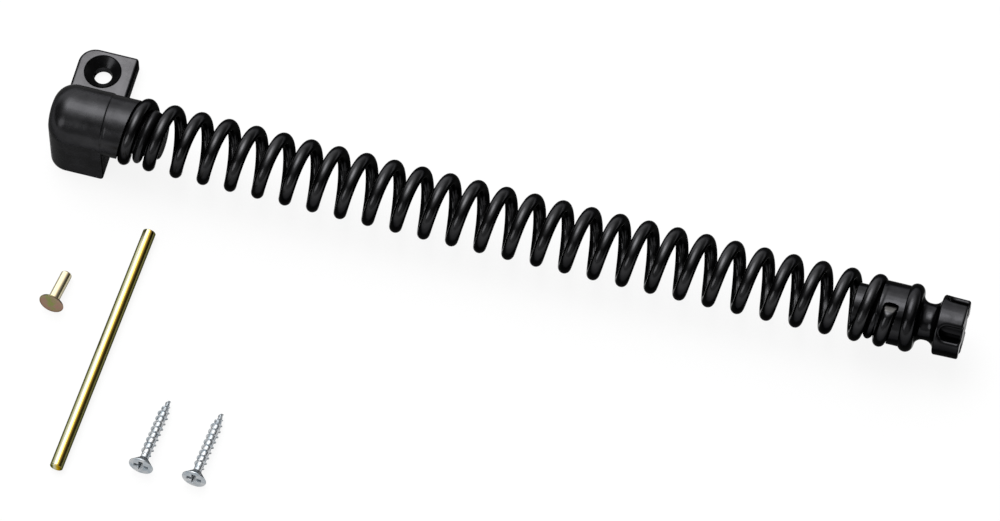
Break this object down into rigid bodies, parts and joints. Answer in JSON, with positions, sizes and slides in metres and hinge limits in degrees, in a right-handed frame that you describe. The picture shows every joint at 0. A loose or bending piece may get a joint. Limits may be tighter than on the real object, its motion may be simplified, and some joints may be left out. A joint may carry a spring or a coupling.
{
  "type": "gate spring closer",
  "caption": "Black torsion spring gate closer: cast bracket with a countersunk hole, long open coil and castellated adjuster, with its tension bar, lock pin and screws.",
  "frame": {"origin": "centre of the bracket's screw hole on the face that is screwed down", "axes": "+X along the spring from the bracket to the castellated adjuster, +Y from the spring to the screw hole, +Z out of the face that is screwed down"},
  "size_m": [0.2996, 0.1457, 0.0293],
  "materials": {
    "black_casting": "semi-gloss black coating on a zinc casting",
    "black_wire": "semi-gloss black coating on spring steel wire",
    "yellow_zinc": "yellow passivated zinc on steel",
    "bright_zinc": "bright zinc on steel"
  },
  "bodies": {
    "bracket": {"mounting_bracket": "black_casting", "coil_spring": "black_wire"},
    "adjuster": {"adjuster_head": "black_casting"},
    "bar": {"tension_bar": "yellow_zinc"},
    "pin": {"lock_pin": "yellow_zinc"},
    "screw_1": {"mounting_screw_1": "bright_zinc"},
    "screw_2": {"mounting_screw_2": "bright_zinc"}
  },
  "joints": [
    {"name": "spring_twist", "type": "hinge", "parent": "bracket", "child": "adjuster", "pos_m": [0.273, -0.0247, 0.018], "axis": [-1, 0, 0], "range_deg": [0, 180], "stiffness_Nm_per_rad": 1.57, "deforming": ["coil_spring"]},
    {"name": "tension_bar_lift", "type": "slide", "parent": "bracket", "child": "bar", "axis": [0, 0, 1], "range_m": [0, 0.1]},
    {"name": "lock_pin_lift", "type": "slide", "parent": "bracket", "child": "pin", "axis": [0, 0, 1], "range_m": [0, 0.1]},
    {"name": "screw_1_lift", "type": "slide", "parent": "bracket", "child": "screw_1", "axis": [0, 0, 1], "range_m": [0, 0.1]},
    {"name": "screw_2_lift", "type": "slide", "parent": "bracket", "child": "screw_2", "axis": [0, 0, 1], "range_m": [0, 0.1]}
  ]
}
